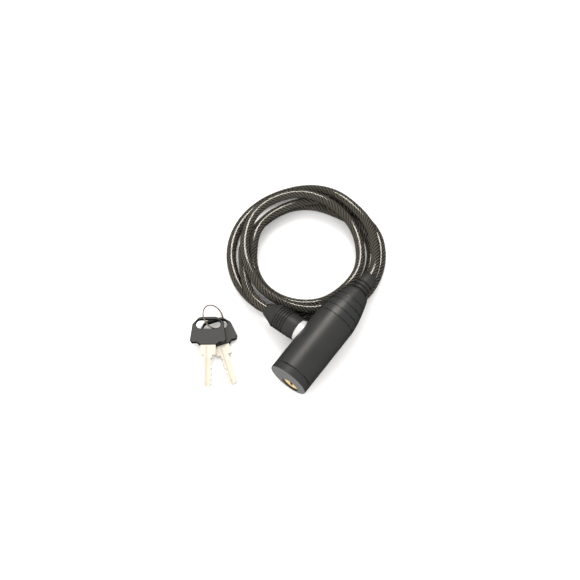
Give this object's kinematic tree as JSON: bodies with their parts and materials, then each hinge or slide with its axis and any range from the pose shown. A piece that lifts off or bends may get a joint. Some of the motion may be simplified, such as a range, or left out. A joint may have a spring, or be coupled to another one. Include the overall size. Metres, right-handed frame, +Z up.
{
  "type": "coiled cable lock",
  "caption": "Key-operated cable lock: a plastic-sheathed steel cable coiled in loops between a cylindrical lock barrel and a ribbed ferrule plug, with keys on a ring.",
  "frame": {"origin": "centre of the cable coil, on the surface the lock lies on", "axes": "+X to the right of the lock as it lies, along its longest side without the cable; +Z up"},
  "size_m": [0.1416, 0.175, 0.0345],
  "materials": {
    "cover_plastic": "charcoal, fine satin grain",
    "moulded_plastic": "soft black moulding",
    "cable": "clear smoke PVC over stranded steel",
    "zinc": "as die cast",
    "steel": "turned",
    "spring_steel": "drawn wire",
    "nickel": "bright nickel plate",
    "brass": "machined",
    "nickel_brass": "nickel-plated brass, warm",
    "ring_wire": "drawn wire",
    "key_plastic": "moulded, slightly glossy edges"
  },
  "bodies": {
    "housing": {"housing_cover": "cover_plastic", "lock_core": "zinc", "anchor_pin": "steel", "cylinder_shell": "brass", "cap_retaining_ring": "spring_steel", "cable_crimp": "steel", "cable_boot": "moulded_plastic", "cable_lead": "cable", "cable_coil": "cable", "cable_tail": "cable", "plug_spring": "spring_steel"},
    "dust_cap": {"dust_cap": "cover_plastic"},
    "cylinder": {"cylinder_plug": "brass", "cam": "steel", "cam_clip": "spring_steel", "wafer_spring_1": "spring_steel", "wafer_spring_2": "spring_steel", "wafer_spring_3": "spring_steel", "wafer_spring_4": "spring_steel", "wafer_spring_5": "spring_steel"},
    "locking_bolt": {"locking_bolt": "steel"},
    "locking_plug": {"locking_plug": "steel", "plug_collar": "nickel", "ferrule_sleeve": "moulded_plastic", "ferrule_crimp": "steel"},
    "key_ring": {"key_ring": "ring_wire"},
    "key_1": {"key_1_head": "key_plastic", "key_1_blade": "nickel_brass"},
    "key_2": {"key_2_head": "key_plastic", "key_2_blade": "nickel_brass"},
    "wafer_1": {"wafer_1": "brass"},
    "wafer_2": {"wafer_2": "brass"},
    "wafer_3": {"wafer_3": "brass"},
    "wafer_4": {"wafer_4": "brass"},
    "wafer_5": {"wafer_5": "brass"}
  },
  "joints": [
    {"name": "dust_cap_turn", "type": "hinge", "parent": "housing", "child": "dust_cap", "pos_m": [-0.0134, -0.1078, 0.01484], "axis": [0.6064, 0.7903, 0.0872], "range_deg": [0, 180]},
    {"name": "cylinder_turn", "type": "hinge", "parent": "housing", "child": "cylinder", "pos_m": [-0.01179, -0.10827, 0.00794], "axis": [0.6064, 0.7903, 0.0872], "range_deg": [0, 90]},
    {"name": "bolt_slide", "type": "slide", "parent": "housing", "child": "locking_bolt", "axis": [-0.0945, -0.0372, 0.9948], "range_m": [0, 0.0028]},
    {"name": "plug_pull", "type": "slide", "parent": "housing", "child": "locking_plug", "axis": [-0.7895, 0.6115, -0.0521], "range_m": [0, 0.024], "deforming": ["cable_tail", "cable_coil", "plug_spring"]},
    {"name": "key_ring_lift", "type": "slide", "parent": "housing", "child": "key_ring", "axis": [0, 0, 1], "range_m": [0, 0.05]},
    {"name": "key_1_swing", "type": "hinge", "parent": "key_ring", "child": "key_1", "pos_m": [-0.0671, -0.0629, 0.0064], "axis": [0, 0, 1], "range_deg": [-12, 10]},
    {"name": "key_2_swing", "type": "hinge", "parent": "key_ring", "child": "key_2", "pos_m": [-0.0671, -0.0629, 0.0064], "axis": [0, 0, 1], "range_deg": [-12, 10]},
    {"name": "wafer_1_slide", "type": "slide", "parent": "cylinder", "child": "wafer_1", "axis": [-0.0945, -0.0372, 0.9948], "range_m": [0, 0.0006], "stiffness_N_per_m": 60, "deforming": ["wafer_spring_1"]},
    {"name": "wafer_2_slide", "type": "slide", "parent": "cylinder", "child": "wafer_2", "axis": [-0.0945, -0.0372, 0.9948], "range_m": [0, 0.0006], "stiffness_N_per_m": 60, "deforming": ["wafer_spring_2"]},
    {"name": "wafer_3_slide", "type": "slide", "parent": "cylinder", "child": "wafer_3", "axis": [-0.0945, -0.0372, 0.9948], "range_m": [0, 0.0006], "stiffness_N_per_m": 60, "deforming": ["wafer_spring_3"]},
    {"name": "wafer_4_slide", "type": "slide", "parent": "cylinder", "child": "wafer_4", "axis": [-0.0945, -0.0372, 0.9948], "range_m": [0, 0.0006], "stiffness_N_per_m": 60, "deforming": ["wafer_spring_4"]},
    {"name": "wafer_5_slide", "type": "slide", "parent": "cylinder", "child": "wafer_5", "axis": [-0.0945, -0.0372, 0.9948], "range_m": [0, 0.0006], "stiffness_N_per_m": 60, "deforming": ["wafer_spring_5"]}
  ],
  "couplings": [
    {"joint": "cylinder_turn", "follows": "bolt_slide", "rad_per_m": 560.99}
  ]
}
